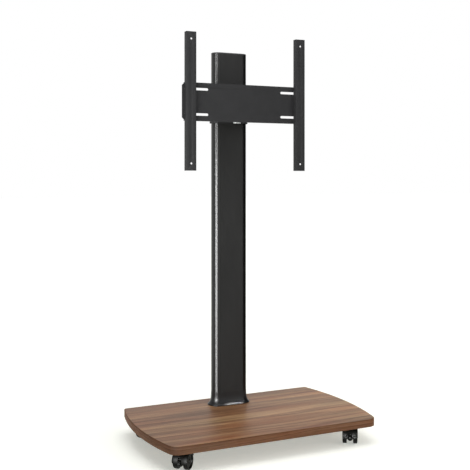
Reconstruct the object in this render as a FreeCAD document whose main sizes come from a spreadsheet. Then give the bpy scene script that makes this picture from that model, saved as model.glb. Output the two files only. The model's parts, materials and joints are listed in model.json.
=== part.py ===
import FreeCAD, Part
import math
import os
import re
import Sketcher
from FreeCAD import Placement, Rotation, Vector

# A wheeled stand for a flat display. The display side faces -Y, +Z is up, the
# floor is z = 0 and the base board is centred on the origin. Lengths are in
# millimetres and angles in degrees.
SIZES = {
    # base board with its glued edge band
    "board_front_width": 700,
    "board_depth": 460,
    "board_thickness": 25,
    "board_side_bulge": 30,
    "board_front_corner_r": 34,
    "board_back_corner_r": 10,
    "band_thickness": 1,
    # column, a flat oval extrusion with two inner ribs
    "column_width": 128,
    "column_depth": 46,
    "column_length": 1200,
    "column_wall": 2.5,
    "column_inset": 82,
    "rib_thickness": 2.5,
    "duct_width": 55,
    # flared foot round the column
    "foot_height": 42,
    "foot_flare": 11,
    "foot_lip": 4,
    "foot_rim": 1,
    "foot_knee": 3.6,
    "foot_knee_height": 15,
    "foot_gap": 0.3,
    # steel plate under the board
    "under_plate_width": 170,
    "under_plate_depth": 64,
    "under_plate_thickness": 3,
    "under_plate_corner": 8,
    # cap and cable ports of the column
    "cap_thickness": 5,
    "cap_plug_depth": 12,
    "cap_plug_gap": 0.5,
    "port_width": 32,
    "port_height": 62,
    "port_corner": 6,
    "lower_port_z": 190,
    "upper_port_drop": 433,
    "grommet_wall": 1.6,
    "grommet_flange": 3,
    "grommet_proud": 1.6,
    "grommet_gap": 0.2,
    # height collar that slides on the column, and its clamp
    "head_drop": 177,
    "collar_height": 120,
    "collar_wall": 3,
    "collar_gap": 0.1,
    "clamp_nut_across": 26,
    "clamp_nut_length": 12,
    "clamp_stud_r": 5,
    "clamp_gap": 0.3,
    "handle_length": 64,
    "handle_width": 16,
    "handle_corner": 4,
    "handle_thickness": 15,
    # swivel: yoke on the collar, pin, block and bracket
    "yoke_plate_width": 90,
    "yoke_plate_thickness": 5,
    "yoke_ear_thickness": 6,
    "yoke_ear_half_width": 20,
    "yoke_height": 112,
    "yoke_reach": 36,
    "yoke_nose": 16,
    "yoke_nose_corner": 9,
    "pin_r": 8,
    "pin_head_across": 24,
    "pin_head_height": 7,
    "running_gap": 0.05,
    "ear_gap": 0.3,
    "block_side": 28,
    "bracket_width": 76,
    "bracket_height": 88,
    "bracket_thickness": 4,
    "bracket_length": 46,
    # head plate and display arms
    "head_overhang": 25,
    "head_height": 124,
    "head_thickness": 2.5,
    "head_flange": 10,
    "head_corner": 10,
    "head_slot_half_width": 4,
    "head_slot_corner": 2.4,
    "head_slot_length": 84,
    "head_slot_level": 41,
    "arm_width": 34,
    "arm_overhang": 23,
    "arm_depth": 18,
    "arm_wall": 2,
    "arm_spread": 400,
    "arm_strap_height": 110,
    "display_hole_r": 3.25,
    "display_hole_pitch": 400,
    # twin-wheel casters
    "caster_height": 58,
    "caster_side_inset": 61,
    "caster_front_inset": 62,
    "caster_back_inset": 78,
    "front_left_turn": 46,
    "front_right_turn": 32,
    "back_left_turn": 60,
    "back_right_turn": 42,
    "caster_plate_side": 44,
    "caster_plate_thickness": 2.5,
    "caster_plate_corner": 5,
    "stem_r": 4,
    "stem_depth": 30,
    "side_gap": 0.3,
    "tip_gap": 1,
    "trail": 18,
    "wheel_r": 25,
    "wheel_width": 14,
    "wheel_gap": 20,
    "axle_r": 3,
    "hood_boss_r": 10,
    "hood_gap": 1.2,
    "hood_wall": 2.2,
    "hood_overhang": 1,
    "hood_front_angle": 18,
    "hood_back_angle": 10,
    "hood_bottom": 12,
    "hood_nose": 30,
    "hood_tail": 14,
    "lever_width": 9.4,
    "lever_pivot_back": 17,
    "lever_pivot_up": 8,
    "lever_root_r": 3.8,
    "lever_half_thickness": 2.2,
    "lever_length": 18,
    "lever_angle": 32,
    "lever_swing": 15,
    "overrun": 5,
}

# straight runs that stand for one curve of a hood
HOOD_RUNS = 8

doc = FreeCAD.newDocument("display_stand")
sheet = doc.addObject("Spreadsheet::Sheet", "Sizes")
for row, (alias, number) in enumerate(SIZES.items(), start=1):
    sheet.set(f"A{row}", alias)
    sheet.set(f"B{row}", str(number))
    sheet.setAlias(f"B{row}", alias)
doc.recompute()

# what several pieces share, written in the sheet's names
BOARD_BOTTOM = "caster_height"
BOARD_TOP = "(caster_height + board_thickness)"
BOARD_FRONT = "(board_depth / 2)"
COLUMN_Y = f"({BOARD_FRONT} - column_inset)"
COLUMN_TOP = f"({BOARD_TOP} + column_length)"
UPPER_PORT_Z = f"({COLUMN_TOP} - upper_port_drop)"
MOUNT_Z = f"({COLUMN_TOP} - head_drop)"
COLUMN_END = "(column_width / 2 - column_depth / 2)"
COLUMN_R = "(column_depth / 2)"
COLLAR_R = f"({COLUMN_R} + collar_gap + collar_wall)"
YOKE_BACK = f"({COLUMN_Y} - {COLLAR_R})"
PIVOT_Y = f"({YOKE_BACK} - yoke_plate_thickness - yoke_reach)"
BLOCK_HALF = "(yoke_height / 2 - yoke_ear_thickness - ear_gap)"
BRACKET_BACK = f"({PIVOT_Y} - block_side / 2)"
HEAD_BACK = f"({BRACKET_BACK} - bracket_length)"
ARM_BACK = f"({HEAD_BACK} - head_thickness)"
HEAD_HALF = "(arm_spread / 2 + head_overhang)"
ARM_HALF = "(display_hole_pitch / 2 + arm_overhang)"
CASTER_X = "(board_front_width / 2 - caster_side_inset)"
WHEEL_INNER = "(wheel_gap / 2)"
HOOD_IN_R = "(wheel_r + hood_gap)"
HOOD_OUT_R = f"({HOOD_IN_R} + hood_wall)"
PLATE_BOTTOM = "(caster_height - caster_plate_thickness)"

PARTS = []


def linked(text):
    """The text with the sheet's name put before each of its aliases."""
    return re.sub(
        r"[a-z][a-z_]*",
        lambda found: ("Sizes." if found.group() in SIZES else "") + found.group(),
        str(text),
    )


def value(text):
    """What an expression in the sheet's names comes to."""
    return float(sheet.evalExpression(linked(text)))


def bind(thing, prop, text):
    thing.setExpression(prop, linked(text))


def new_body(name, x="0", y="0", z="0", turn="0", kept=True):
    body = doc.addObject("PartDesign::Body", name)
    body.Label = name
    body.Placement = Placement(Vector(), Rotation(Vector(0, 0, 1), value(turn)))
    bind(body, "Placement.Base.x", x)
    bind(body, "Placement.Base.y", y)
    bind(body, "Placement.Base.z", z)
    bind(body, "Placement.Rotation.Angle", turn)
    if kept:
        PARTS.append(body)
    return body


def new_sketch(body, plane, name, offset="0"):
    """A sketch on one of the body's own planes, moved along the plane's normal."""
    sketch = body.newObject("Sketcher::SketchObject", f"{body.Name}_{name}")
    planes = [f for f in body.Origin.OriginFeatures if f.Role == f"{plane}_Plane"]
    sketch.AttachmentSupport = [(planes[0], "")]
    sketch.MapMode = "FlatFace"
    bind(sketch, "AttachmentOffset.Base.z", offset)
    return sketch


def pin_down(sketch, geometry, vertex, x, y):
    """Tie one point of a sketch to its two coordinates."""
    for kind, text in (("DistanceX", x), ("DistanceY", y)):
        tie = Sketcher.Constraint(kind, -1, 1, geometry, vertex, value(text))
        bind(sketch, f"Constraints[{sketch.addConstraint(tie)}]", text)


def set_radius(sketch, geometry, radius):
    tie = Sketcher.Constraint("Radius", geometry, value(radius))
    bind(sketch, f"Constraints[{sketch.addConstraint(tie)}]", radius)


def add_arc(sketch, start, end, radius, bulge):
    """Add the shorter arc between two points, which bows out to the left of the
    way from start to end if bulge is 1. Returns its number and the places of
    start and end on it."""
    chord = end - start
    half = chord.Length / 2
    left = Vector(-chord.y, chord.x, 0).normalize()
    centre = (start + end) * 0.5 - left * (math.sqrt(radius * radius - half * half) * bulge)
    low, high = (end, start) if bulge == 1 else (start, end)
    angles = [math.atan2(p.y - centre.y, p.x - centre.x) for p in (low, high)]
    if angles[1] < angles[0]:
        angles[1] += 2 * math.pi
    circle = Part.Circle(centre, Vector(0, 0, 1), radius)
    number = sketch.addGeometry(Part.ArcOfCircle(circle, *angles), False)
    return (number, 2, 1) if bulge == 1 else (number, 1, 2)


def draw_outline(sketch, points, arcs=None):
    """A closed outline. arcs gives a radius and a bulge side for the edge that
    leaves a point, by that point's place in the list."""
    arcs = arcs or {}
    spots = [Vector(value(x), value(y), 0) for x, y in points]
    ends = []
    for i, start in enumerate(spots):
        end = spots[(i + 1) % len(spots)]
        if i in arcs:
            radius, bulge = arcs[i]
            ends.append(add_arc(sketch, start, end, value(radius), bulge))
        else:
            number = sketch.addGeometry(Part.LineSegment(start, end), False)
            ends.append((number, 1, 2))
    for i, (number, first, last) in enumerate(ends):
        after, after_first, _ = ends[(i + 1) % len(ends)]
        tie = Sketcher.Constraint("Coincident", number, last, after, after_first)
        sketch.addConstraint(tie)
        pin_down(sketch, number, first, *points[i])
        if i in arcs:
            set_radius(sketch, number, arcs[i][0])


def draw_box(sketch, x_low, y_low, x_high, y_high):
    corners = [(x_low, y_low), (x_high, y_low), (x_high, y_high), (x_low, y_high)]
    draw_outline(sketch, corners)


def draw_circle(sketch, x, y, radius):
    centre = Vector(value(x), value(y), 0)
    circle = Part.Circle(centre, Vector(0, 0, 1), value(radius))
    number = sketch.addGeometry(circle, False)
    pin_down(sketch, number, 3, x, y)
    set_radius(sketch, number, radius)


def draw_obround(sketch, x, y, half_run, radius, upright=False):
    """A slot shape: two half circles joined by straight runs along X, or along
    Y where it is upright."""
    along = Vector(0, 1, 0) if upright else Vector(1, 0, 0)
    centre = Vector(value(x), value(y), 0)
    run, size = value(half_run), value(radius)
    facing = math.pi / 2 if upright else 0
    numbers = []
    for side in (1, -1):
        circle = Part.Circle(centre + along * (run * side), Vector(0, 0, 1), size)
        low = facing - side * math.pi / 2
        numbers.append(
            sketch.addGeometry(Part.ArcOfCircle(circle, low, low + math.pi), False)
        )
    first, second = numbers
    ends = [sketch.Geometry[n] for n in numbers]
    runs = []
    for start, end in ((ends[0].EndPoint, ends[1].StartPoint),
                       (ends[1].EndPoint, ends[0].StartPoint)):
        runs.append(sketch.addGeometry(Part.LineSegment(start, end), False))
    for a, a_end, b, b_end in ((first, 2, runs[0], 1), (runs[0], 2, second, 1),
                               (second, 2, runs[1], 1), (runs[1], 2, first, 1)):
        sketch.addConstraint(Sketcher.Constraint("Tangent", a, a_end, b, b_end))
    sketch.addConstraint(Sketcher.Constraint("Equal", first, second))
    for number, side in ((first, "+"), (second, "-")):
        moved = f"{half_run}"
        if upright:
            pin_down(sketch, number, 3, x, f"{y} {side} {moved}")
        else:
            pin_down(sketch, number, 3, f"{x} {side} {moved}", y)
    set_radius(sketch, first, radius)


def draw_oval(sketch, offset="0", half_run=COLUMN_END):
    """The column's flat oval, moved outwards by offset."""
    draw_obround(sketch, "0", "0", half_run, f"{COLUMN_R} + {offset}")


def pad(body, sketch, length, both_ways=False, back=False):
    feature = body.newObject("PartDesign::Pad", sketch.Name + "_pad")
    feature.Profile = sketch
    feature.SideType = "Symmetric" if both_ways else "One side"
    feature.Reversed = back
    bind(feature, "Length", length)
    doc.recompute()
    return feature


def pocket(body, sketch, length, both_ways=False, back=False):
    """Cut a sketch's shape out, and make sure that something came out."""
    before = body.Shape.Volume
    feature = body.newObject("PartDesign::Pocket", sketch.Name + "_pocket")
    feature.Profile = sketch
    feature.SideType = "Symmetric" if both_ways else "One side"
    feature.Reversed = back
    bind(feature, "Length", length)
    doc.recompute()
    if body.Shape.Volume >= before:
        raise RuntimeError(f"{feature.Name} cut nothing")
    return feature


def revolve(body, sketch, axis="V_Axis", angle=360, both_ways=False):
    feature = body.newObject("PartDesign::Revolution", sketch.Name + "_turned")
    feature.Profile = sketch
    feature.ReferenceAxis = (sketch, [axis])
    feature.Midplane = both_ways
    feature.Angle = angle
    doc.recompute()
    return feature


def picked(shape, wanted):
    return [f"Edge{i}" for i, e in enumerate(shape.Edges, start=1) if wanted(e)]


def soften(body, kind, size, wanted):
    """Fillet or chamfer the edges that wanted picks, in the body's own frame."""
    last = body.Tip
    names = picked(last.Shape, wanted)
    if not names:
        raise RuntimeError(f"{last.Name} has no edge to soften")
    feature = body.newObject(f"PartDesign::{kind}", f"{last.Name}_{kind.lower()}")
    feature.Base = (last, names)
    bind(feature, "Radius" if kind == "Fillet" else "Size", size)
    doc.recompute()
    return feature


def is_along(edge, direction):
    if edge.Curve.TypeId != "Part::GeomLine":
        return False
    return abs(abs(edge.tangentAt(edge.FirstParameter).dot(direction)) - 1) < 1e-6


# The four casters: side along X, the sheet's names for inset and turn, brake.
CASTERS = {
    "front_left": (-1, f"(caster_front_inset - {BOARD_FRONT})", "front_left_turn", True),
    "front_right": (1, f"(caster_front_inset - {BOARD_FRONT})", "front_right_turn", True),
    "back_left": (-1, f"({BOARD_FRONT} - caster_back_inset)", "back_left_turn", False),
    "back_right": (1, f"({BOARD_FRONT} - caster_back_inset)", "back_right_turn", False),
}


def board_outline(sketch, inset):
    """The board's edge moved inwards: straight front and back, and sides that
    bow out on one arc each."""
    side_r = "((board_depth / 2) ^ 2 + board_side_bulge ^ 2) / (2 * board_side_bulge)"
    side_centre = f"(board_front_width / 2 + board_side_bulge - {side_r})"
    radius = f"({side_r} - {inset})"
    depth = f"({BOARD_FRONT} - {inset})"
    corner = f"({side_centre} + sqrt({radius} ^ 2 - {depth} ^ 2))"
    points = [(f"-{corner}", f"-{depth}"), (corner, f"-{depth}"),
              (corner, depth), (f"-{corner}", depth)]
    draw_outline(sketch, points, {1: (radius, -1), 3: (radius, -1)})


def round_board_corners(body, inset):
    upright = Vector(0, 0, 1)
    for front, size in ((True, "board_front_corner_r"), (False, "board_back_corner_r")):
        soften(body, "Fillet", f"{size} - {inset}",
               lambda e: is_along(e, upright) and (e.CenterOfMass.y < 0) == front)


def make_base_board():
    body = new_body("base_board", z=BOARD_BOTTOM)
    edge = new_sketch(body, "XY", "edge")
    board_outline(edge, "band_thickness")
    pad(body, edge, "board_thickness")
    round_board_corners(body, "band_thickness")


def make_edge_band():
    """Thin band glued round the board."""
    blocks = []
    for name, inset in (("band_block", "0"), ("band_core", "band_thickness")):
        block = new_body(name, z=BOARD_BOTTOM, kept=False)
        edge = new_sketch(block, "XY", "edge")
        board_outline(edge, inset)
        pad(block, edge, "board_thickness")
        round_board_corners(block, inset)
        blocks.append(block)
    band = doc.addObject("Part::Cut", "edge_band")
    band.Label = "edge_band"
    band.Base, band.Tool = blocks
    PARTS.append(band)


def draw_cut_corner_box(sketch, x, y, half_x, half_y, corner):
    """A rectangle round x, y with its four corners cut off at 45 degrees."""
    draw_outline(sketch, [
        (f"{x} + {half_x} - {corner}", f"{y} - {half_y}"),
        (f"{x} + {half_x}", f"{y} - {half_y} + {corner}"),
        (f"{x} + {half_x}", f"{y} + {half_y} - {corner}"),
        (f"{x} + {half_x} - {corner}", f"{y} + {half_y}"),
        (f"{x} - {half_x} + {corner}", f"{y} + {half_y}"),
        (f"{x} - {half_x}", f"{y} + {half_y} - {corner}"),
        (f"{x} - {half_x}", f"{y} - {half_y} + {corner}"),
        (f"{x} - {half_x} + {corner}", f"{y} - {half_y}"),
    ])


def make_under_plate():
    """Steel plate that spreads the column's pull under the board."""
    body = new_body("under_plate", y=COLUMN_Y, z=BOARD_BOTTOM)
    flat = new_sketch(body, "XY", "flat")
    draw_cut_corner_box(flat, "0", "0", "under_plate_width / 2", "under_plate_depth / 2",
                        "under_plate_corner")
    pad(body, flat, "under_plate_thickness", back=True)


def make_column_foot():
    """The flared shoe: one hollow profile along the column's flats and round
    its half-round ends."""
    body = new_body("column_foot", y=COLUMN_Y, z=BOARD_TOP)
    inner = f"({COLUMN_R} + foot_gap)"
    base = f"({COLUMN_R} + foot_flare)"

    def profile(sketch, centre):
        draw_outline(sketch, [
            (f"{centre} + {inner}", "0"), (f"{centre} + {base}", "0"),
            (f"{centre} + {base}", "foot_lip"),
            (f"{centre} + {inner} + foot_knee", "foot_knee_height"),
            (f"{centre} + {inner} + foot_rim", "foot_height"),
            (f"{centre} + {inner}", "foot_height"),
        ])

    flank = new_sketch(body, "YZ", "flank")
    profile(flank, "0")
    straight = pad(body, flank, f"2 * {COLUMN_END}", both_ways=True)
    other = body.newObject("PartDesign::Mirrored", "column_foot_other_flank")
    other.Originals = [straight]
    other.MirrorPlane = (flank, ["V_Axis"])
    body.Tip = other
    end = new_sketch(body, "XZ", "end")
    profile(end, COLUMN_END)
    x = value(COLUMN_END)
    axis = end.addGeometry(
        Part.LineSegment(Vector(x, 0, 0), Vector(x, value("foot_height"), 0)), True)
    pin_down(end, axis, 1, COLUMN_END, "0")
    pin_down(end, axis, 2, COLUMN_END, "foot_height")
    right = revolve(body, end, "Axis0", 180, both_ways=True)
    left = body.newObject("PartDesign::Mirrored", "column_foot_other_end")
    left.Originals = [right]
    left.MirrorPlane = (end, ["V_Axis"])
    body.Tip = left
    doc.recompute()


def make_column():
    """Flat oval tube with a rib on each side of its cable duct and two ports."""
    body = new_body("column", y=COLUMN_Y, z=BOARD_TOP)
    outside = new_sketch(body, "XY", "outside")
    draw_oval(outside)
    pad(body, outside, "column_length")
    hollow = new_sketch(body, "XY", "hollow")
    draw_oval(hollow, "-1 * column_wall")
    pocket(body, hollow, "column_length", back=True)
    ribs = new_sketch(body, "XY", "ribs")
    reach = f"({COLUMN_R} - column_wall / 2)"
    draw_box(ribs, "duct_width / 2", f"-{reach}", "duct_width / 2 + rib_thickness", reach)
    draw_box(ribs, "-duct_width / 2 - rib_thickness", f"-{reach}", "-duct_width / 2", reach)
    pad(body, ribs, "column_length")
    ports = new_sketch(body, "XZ", "ports")
    for level in ("lower_port_z", UPPER_PORT_Z):
        draw_port(ports, f"{level} - {BOARD_TOP}", "0")
    pocket(body, ports, "column_depth")


def draw_port(sketch, z, shrink):
    """A cable port with cut corners, made smaller by shrink all round."""
    draw_cut_corner_box(sketch, "0", z, f"(port_width / 2 - ({shrink}))",
                        f"(port_height / 2 - ({shrink}))", "port_corner")


def make_cable_grommets():
    for name, level in (("lower_cable_grommet", "lower_port_z"),
                        ("upper_cable_grommet", UPPER_PORT_Z)):
        body = new_body(name, y=f"{COLUMN_Y} + {COLUMN_R}", z=level)
        flange = new_sketch(body, "XZ", "flange")
        draw_port(flange, "0", "-1 * grommet_flange")
        pad(body, flange, "grommet_proud", back=True)
        sleeve = new_sketch(body, "XZ", "sleeve")
        draw_port(sleeve, "0", "grommet_gap")
        pad(body, sleeve, "column_wall + grommet_wall")
        hole = new_sketch(body, "XZ", "hole", "-overrun")
        draw_port(hole, "0", "grommet_gap + grommet_wall")
        pocket(body, hole, "column_depth", back=True)


def make_column_cap():
    body = new_body("column_cap", y=COLUMN_Y, z=COLUMN_TOP)
    plug = new_sketch(body, "XY", "plug")
    half_x = "(duct_width / 2 - cap_plug_gap)"
    half_y = f"({COLUMN_R} - column_wall - cap_plug_gap)"
    draw_box(plug, f"-{half_x}", f"-{half_y}", half_x, half_y)
    pad(body, plug, "cap_plug_depth", back=True)
    lid = new_sketch(body, "XY", "lid")
    draw_oval(lid)
    pad(body, lid, "cap_thickness")


def make_height_collar():
    """Folded steel sleeve with a nut for the clamp welded to its back."""
    body = new_body("height_collar", y=COLUMN_Y, z=MOUNT_Z)
    outside = new_sketch(body, "XY", "outside")
    fold = f"({COLLAR_R} * (2 - sqrt(2)))"
    draw_cut_corner_box(outside, "0", "0", f"({COLUMN_END} + {COLLAR_R})", COLLAR_R, fold)
    pad(body, outside, "collar_height", both_ways=True)
    nut = new_sketch(body, "XZ", "nut")
    draw_hexagon(nut, "clamp_nut_across")
    pad(body, nut, f"{COLLAR_R} + clamp_nut_length", back=True)
    hollow = new_sketch(body, "XY", "hollow")
    draw_oval(hollow, "collar_gap")
    pocket(body, hollow, "collar_height + 2 * overrun", both_ways=True)
    thread = new_sketch(body, "XZ", "thread")
    draw_circle(thread, "0", "0", "clamp_stud_r + running_gap")
    pocket(body, thread, f"{COLLAR_R} + clamp_nut_length + overrun")


def make_clamp_handle():
    """Bar handle with its stud, which presses on the back of the column."""
    seat = f"{COLUMN_Y} + {COLLAR_R} + clamp_nut_length + clamp_gap"
    body = new_body("clamp_handle", y=seat, z=MOUNT_Z)
    bar = new_sketch(body, "XZ", "bar")
    draw_cut_corner_box(bar, "0", "0", "handle_length / 2", "handle_width / 2",
                        "handle_corner")
    pad(body, bar, "handle_thickness", back=True)
    stud = new_sketch(body, "XZ", "stud")
    draw_circle(stud, "0", "0", "clamp_stud_r")
    pad(body, stud, f"{COLLAR_R} + clamp_nut_length - {COLUMN_R}")


def make_swivel_yoke():
    """Plate on the collar's front with an ear above and below the block."""
    body = new_body("swivel_yoke", y=YOKE_BACK, z=MOUNT_Z)
    flat = new_sketch(body, "XZ", "flat")
    draw_box(flat, "-yoke_plate_width / 2", "-yoke_height / 2",
             "yoke_plate_width / 2", "yoke_height / 2")
    pad(body, flat, "yoke_plate_thickness")
    pivot = "(yoke_plate_thickness + yoke_reach)"
    tip = f"({pivot} + yoke_nose)"
    for name, side in (("top", 1), ("bottom", -1)):
        ear = new_sketch(body, "XY", f"{name}_ear", f"{side} * yoke_height / 2")
        draw_outline(ear, [
            ("yoke_ear_half_width", "-yoke_plate_thickness / 2"),
            ("-yoke_ear_half_width", "-yoke_plate_thickness / 2"),
            ("-yoke_ear_half_width", f"yoke_nose_corner - {tip}"),
            ("yoke_nose_corner - yoke_ear_half_width", f"-{tip}"),
            ("yoke_ear_half_width - yoke_nose_corner", f"-{tip}"),
            ("yoke_ear_half_width", f"yoke_nose_corner - {tip}"),
        ])
        draw_circle(ear, "0", f"-{pivot}", "pin_r + running_gap")
        pad(body, ear, "yoke_ear_thickness", back=side == 1)


def make_swivel_pin():
    """Headed pin with its nut, tightened against both ears."""
    body = new_body("swivel_pin", y=PIVOT_Y, z=MOUNT_Z)
    rod = new_sketch(body, "XY", "rod")
    draw_circle(rod, "0", "0", "pin_r")
    pad(body, rod, "yoke_height + pin_head_height", both_ways=True)
    for name, side in (("head", 1), ("nut", -1)):
        flats = new_sketch(body, "XY", name, f"{side} * yoke_height / 2")
        draw_hexagon(flats, "pin_head_across")
        pad(body, flats, "pin_head_height", back=side == -1)


def draw_hexagon(sketch, across):
    """A nut's six flats."""
    flat, corner = f"({across} / 2)", f"({across} / sqrt(3))"
    draw_outline(sketch, [
        (corner, "0"), (f"{corner} / 2", flat), (f"-{corner} / 2", flat),
        (f"-{corner}", "0"), (f"-{corner} / 2", f"-{flat}"), (f"{corner} / 2", f"-{flat}"),
    ])


def make_swivel_block():
    """Square block that turns on the pin."""
    body = new_body("swivel_block", y=PIVOT_Y, z=MOUNT_Z)
    square = new_sketch(body, "XY", "square")
    draw_box(square, "-block_side / 2", "-block_side / 2", "block_side / 2", "block_side / 2")
    draw_circle(square, "0", "0", "pin_r + running_gap")
    pad(body, square, f"2 * {BLOCK_HALF}", both_ways=True)


def make_swivel_bracket():
    """Channel from the block to the head plate, with the webs tapered in."""
    body = new_body("swivel_bracket", y=BRACKET_BACK, z=MOUNT_Z)
    web = new_sketch(body, "XZ", "web")
    half_x, half_z = "bracket_width / 2", "bracket_height / 2"
    draw_box(web, f"-{half_x}", f"-{half_z}", half_x, half_z)
    pad(body, web, "bracket_thickness")
    for name, side in (("right", 1), ("left", -1)):
        cheek = new_sketch(body, "YZ", f"{name}_cheek", f"{side} * bracket_width / 2")
        draw_outline(cheek, [
            ("-bracket_thickness / 2", f"-{half_z}"), ("-bracket_thickness / 2", half_z),
            ("-bracket_length", "bracket_height / 3"),
            ("-bracket_length", "-bracket_height / 3"),
        ])
        pad(body, cheek, "bracket_thickness", back=side == 1)


def make_head_plate():
    """Cross plate with bent top and bottom flanges and two rows of slots."""
    body = new_body("head_plate", y=HEAD_BACK, z=MOUNT_Z)
    flat = new_sketch(body, "XZ", "flat")
    draw_cut_corner_box(flat, "0", "0", HEAD_HALF, "head_height / 2", "head_corner")
    pad(body, flat, "head_thickness")
    flanges = new_sketch(body, "XZ", "flanges")
    half_run = f"({HEAD_HALF} - head_corner)"
    draw_box(flanges, f"-{half_run}", "head_height / 2 - head_thickness",
             half_run, "head_height / 2")
    draw_box(flanges, f"-{half_run}", "-head_height / 2",
             half_run, "head_thickness - head_height / 2")
    pad(body, flanges, "head_flange", back=True)
    slots = new_sketch(body, "XZ", "slots", "-overrun")
    for row in (-1, 1):
        for side in (-1, 1):
            centre = f"{side} * (arm_spread / 2 - head_slot_length / 2 + arm_width / 2)"
            draw_cut_corner_box(slots, centre, f"{row} * head_slot_level",
                                "head_slot_length / 2", "head_slot_half_width",
                                "head_slot_corner")
    pocket(body, slots, "head_thickness + 2 * overrun", back=True)


def make_arms():
    """Upright channels that the display is screwed to, with a strap at the back
    where they are fixed to the head plate."""
    for name, side in (("left_arm", -1), ("right_arm", 1)):
        body = new_body(name, x=f"{side} * arm_spread / 2", y=ARM_BACK, z=MOUNT_Z)
        block = new_sketch(body, "XZ", "block")
        draw_box(block, "-arm_width / 2", f"-{ARM_HALF}", "arm_width / 2", ARM_HALF)
        pad(body, block, "arm_depth")
        hollow = new_sketch(body, "XZ", "hollow")
        inner = "(arm_width / 2 - arm_wall)"
        draw_box(hollow, f"-{inner}", f"-{ARM_HALF} - overrun", inner,
                 f"{ARM_HALF} + overrun")
        pocket(body, hollow, "arm_depth - arm_wall", back=True)
        strap = new_sketch(body, "XZ", "strap")
        reach = f"({inner} + arm_wall / 2)"
        draw_box(strap, f"-{reach}", "-arm_strap_height / 2", reach, "arm_strap_height / 2")
        pad(body, strap, "arm_wall")
        holes = new_sketch(body, "XZ", "display_holes", "arm_depth - arm_wall - overrun")
        for end in (-1, 1):
            draw_circle(holes, "0", f"{end} * display_hole_pitch / 2", "display_hole_r")
        pocket(body, holes, "arm_wall + 2 * overrun", back=True)


def caster_body(name, place, part):
    """A body in the caster's own frame: stem on Z, wheels trailing along -Y."""
    side, y, turn, _ = place
    return new_body(f"{name}_caster_{part}", x=f"{side} * {CASTER_X}", y=y, turn=f"-1 * {turn}")


def make_caster_mount(name, place):
    """Plate under the board with the kingpin that its caster swivels on."""
    side, y, _, _ = place
    body = new_body(f"{name}_caster_mount", x=f"{side} * {CASTER_X}", y=y, z=PLATE_BOTTOM)
    flat = new_sketch(body, "XY", "flat")
    half = "caster_plate_side / 2"
    draw_cut_corner_box(flat, "0", "0", half, half, "caster_plate_corner")
    pad(body, flat, "caster_plate_thickness")
    stem = new_sketch(body, "XY", "stem")
    draw_circle(stem, "0", "0", "stem_r")
    pad(body, stem, "stem_depth", back=True)


def round_axle(radius, degrees):
    """A point round the axle, by its angle up from the caster's front, as texts."""
    turn = f"({degrees}) * 1deg"
    return (f"-trail + {radius} * cos({turn})", f"wheel_r + {radius} * sin({turn})")


def swept(radius, start, end, runs):
    """The points of a curve round the axle, drawn in equal straight runs."""
    return [round_axle(radius, f"{start} + ({end} - {start}) * {i} / {runs}")
            for i in range(runs + 1)]


def make_caster_hood(name, place):
    """Moulded hood: a web between the wheels, bored for stem and axles, and a
    mudguard over both treads. A braked one has a seat for its lever."""
    body = caster_body(name, place, "hood")
    boss_top = f"({PLATE_BOTTOM} - side_gap)"
    web = new_sketch(body, "YZ", "web")
    draw_outline(web, [
        ("hood_boss_r", "hood_nose"), ("hood_boss_r", boss_top), ("-hood_boss_r", boss_top),
        *swept(HOOD_OUT_R, "90", "180", HOOD_RUNS // 2),
        ("-trail - hood_tail", "hood_bottom"), ("-trail + hood_tail / 2", "hood_bottom"),
    ])
    pad(body, web, "wheel_gap - 2 * side_gap", both_ways=True)
    guard = new_sketch(body, "YZ", "guard")
    front, back = "hood_front_angle", "(180 + hood_back_angle)"
    draw_outline(guard, [
        *swept(HOOD_OUT_R, front, back, HOOD_RUNS),
        *swept(HOOD_IN_R, back, front, HOOD_RUNS),
    ])
    pad(body, guard, "wheel_gap + 2 * wheel_width + 2 * hood_overhang", both_ways=True)
    bore = new_sketch(body, "XY", "stem_bore", boss_top)
    draw_circle(bore, "0", "0", "stem_r + running_gap")
    pocket(body, bore, "stem_depth + tip_gap")
    axle = new_sketch(body, "YZ", "axle_bore")
    draw_circle(axle, "-trail", "wheel_r", "axle_r + running_gap")
    pocket(body, axle, "wheel_gap", both_ways=True)
    if place[3]:
        cut_lever_seat(body)


def cut_lever_seat(body):
    """A round seat for the lever's root, and the wedge that its arm swings in."""
    y, z = lever_pivot()
    width = "lever_width + 2 * side_gap"
    seat = new_sketch(body, "YZ", "lever_seat")
    draw_circle(seat, y, z, "lever_root_r + running_gap")
    pocket(body, seat, width, both_ways=True)
    wedge = new_sketch(body, "YZ", "lever_wedge")
    reach = f"(2 * {HOOD_OUT_R})"
    upper = "(180 + lever_angle) * 1deg"
    lower = "(180 + lever_angle + lever_swing) * 1deg"
    offset = "(lever_half_thickness + side_gap)"
    draw_outline(wedge, [
        (f"{y} + {offset} * sin({upper})", f"{z} - {offset} * cos({upper})"),
        (f"{y} + {reach} * cos({upper}) + {offset} * sin({upper})",
         f"{z} + {reach} * sin({upper}) - {offset} * cos({upper})"),
        (f"{y} + {reach} * cos({lower}) - {offset} * sin({lower})",
         f"{z} + {reach} * sin({lower}) + {offset} * cos({lower})"),
        (f"{y} - {offset} * sin({lower})", f"{z} + {offset} * cos({lower})"),
    ])
    pocket(body, wedge, width, both_ways=True)


def lever_pivot():
    return ("-trail - lever_pivot_back", "wheel_r + lever_pivot_up")


def make_caster_wheel(name, place, hand, side):
    """Wheel with the stub axle that it turns on, which ends inside the hood."""
    body = caster_body(name, place, f"{hand}_wheel")
    disc = new_sketch(body, "YZ", "disc", f"{side} * {WHEEL_INNER}")
    draw_circle(disc, "-trail", "wheel_r", "wheel_r")
    pad(body, disc, "wheel_width", back=side == -1)
    stub = new_sketch(body, "YZ", "stub", f"{side} * {WHEEL_INNER}")
    draw_circle(stub, "-trail", "wheel_r", "axle_r")
    pad(body, stub, f"{WHEEL_INNER} - side_gap / 2", back=side == 1)


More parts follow.
